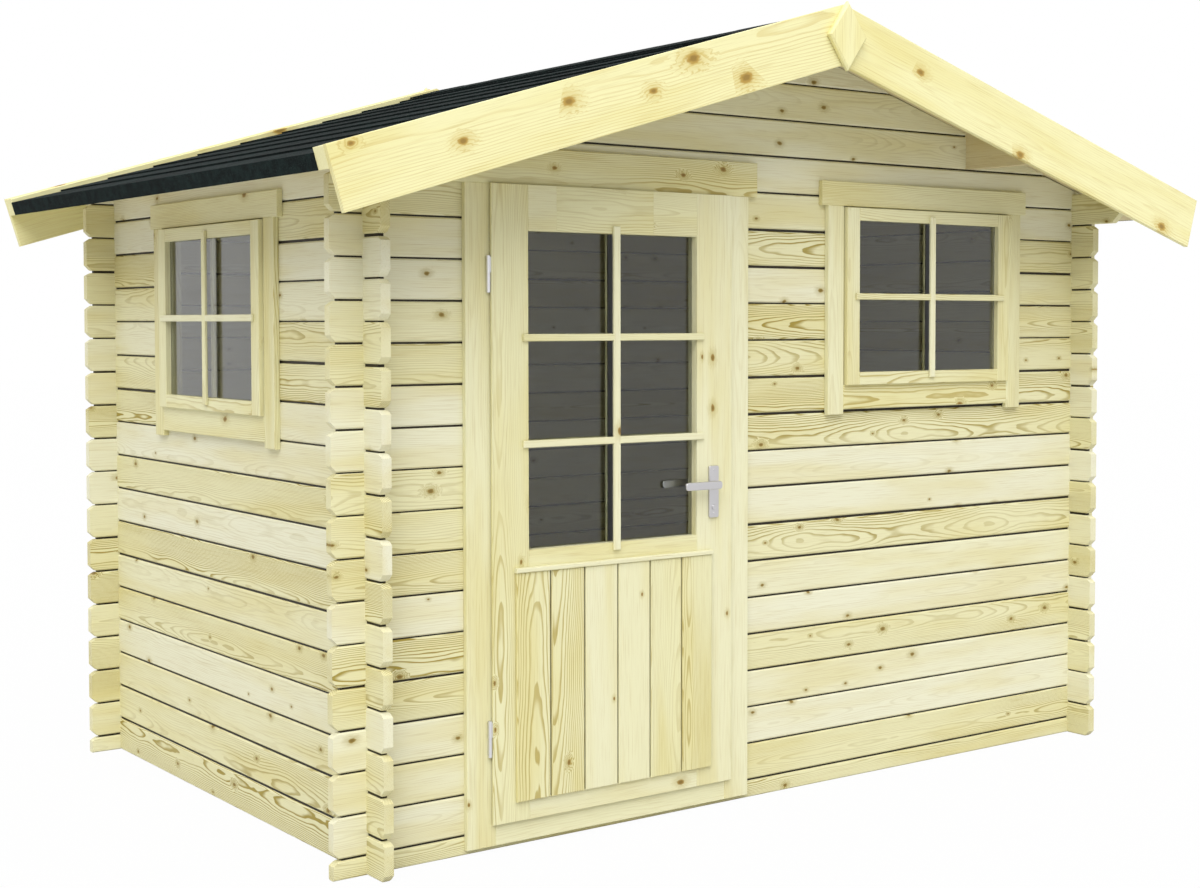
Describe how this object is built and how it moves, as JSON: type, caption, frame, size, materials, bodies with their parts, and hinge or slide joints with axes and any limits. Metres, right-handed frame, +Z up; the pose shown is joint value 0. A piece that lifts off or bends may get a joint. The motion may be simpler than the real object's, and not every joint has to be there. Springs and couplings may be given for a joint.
{
  "type": "garden house",
  "caption": "Small log garden house with a shingled gable roof, a half-glazed hinged door with a lever handle, and fixed windows in the front and left walls.",
  "frame": {"origin": "ground level, midway between the four walls", "axes": "+X to the right of the front wall, +Y from the front wall to the back wall, +Z up"},
  "size_m": [3.3186, 2.464, 2.3805],
  "materials": {
    "log_wood": "pale untreated spruce, planed, grain along each log",
    "joinery_wood": "pale untreated spruce, planed and sanded",
    "bargeboard_wood": "bright yellow pine with small orange-brown knots",
    "board_wood": "pale untreated spruce boards",
    "shingle": "dark mineral-faced bitumen, rough",
    "pane_glass": "clear, looking dark against the room",
    "satin_fittings": "satin silver",
    "hinge_steel": "zinc-plated, satin"
  },
  "bodies": {
    "house": {"front_sill_log": "log_wood", "front_wall_left": "log_wood", "front_wall_lower": "log_wood", "front_wall_pier": "log_wood", "front_wall_right": "log_wood", "front_gable": "log_wood", "back_wall": "log_wood", "left_wall_lower": "log_wood", "left_wall_front": "log_wood", "left_wall_back": "log_wood", "left_wall_upper": "log_wood", "right_wall": "log_wood", "floor_bearers": "board_wood", "floor_boards": "board_wood", "purlins": "board_wood", "roof_deck_left": "board_wood", "roof_deck_right": "board_wood", "shingles_left": "shingle", "shingles_right": "shingle", "ridge_cap": "shingle", "eave_strips": "board_wood", "edge_battens_left": "bargeboard_wood", "edge_battens_right": "bargeboard_wood", "bargeboard_front_left": "bargeboard_wood", "bargeboard_front_right": "bargeboard_wood", "bargeboard_back_left": "bargeboard_wood", "bargeboard_back_right": "bargeboard_wood", "finials": "bargeboard_wood", "door_frame": "joinery_wood", "door_casing": "joinery_wood", "hinge_knuckles_frame": "hinge_steel", "front_window_frame": "joinery_wood", "front_window_casing": "joinery_wood", "front_window_sash": "joinery_wood", "front_window_glass": "pane_glass", "left_window_frame": "joinery_wood", "left_window_casing": "joinery_wood", "left_window_sash": "joinery_wood", "left_window_glass": "pane_glass"},
    "door": {"door_leaf": "joinery_wood", "door_panel": "joinery_wood", "door_glass": "pane_glass", "lock_plates": "satin_fittings", "hinge_knuckles_door": "hinge_steel"},
    "lever": {"lever_handle": "satin_fittings"}
  },
  "joints": [
    {"name": "door_hinge", "type": "hinge", "parent": "house", "child": "door", "pos_m": [-1.036, -0.925, 0.95], "axis": [0, 0, -1], "range_deg": [0, 110]},
    {"name": "lever_turn", "type": "hinge", "parent": "door", "child": "lever", "pos_m": [-0.264, -0.931, 0.972], "axis": [0, -1, 0], "range_deg": [0, 40], "stiffness_Nm_per_rad": 1.5, "springref_deg": -14.32}
  ]
}
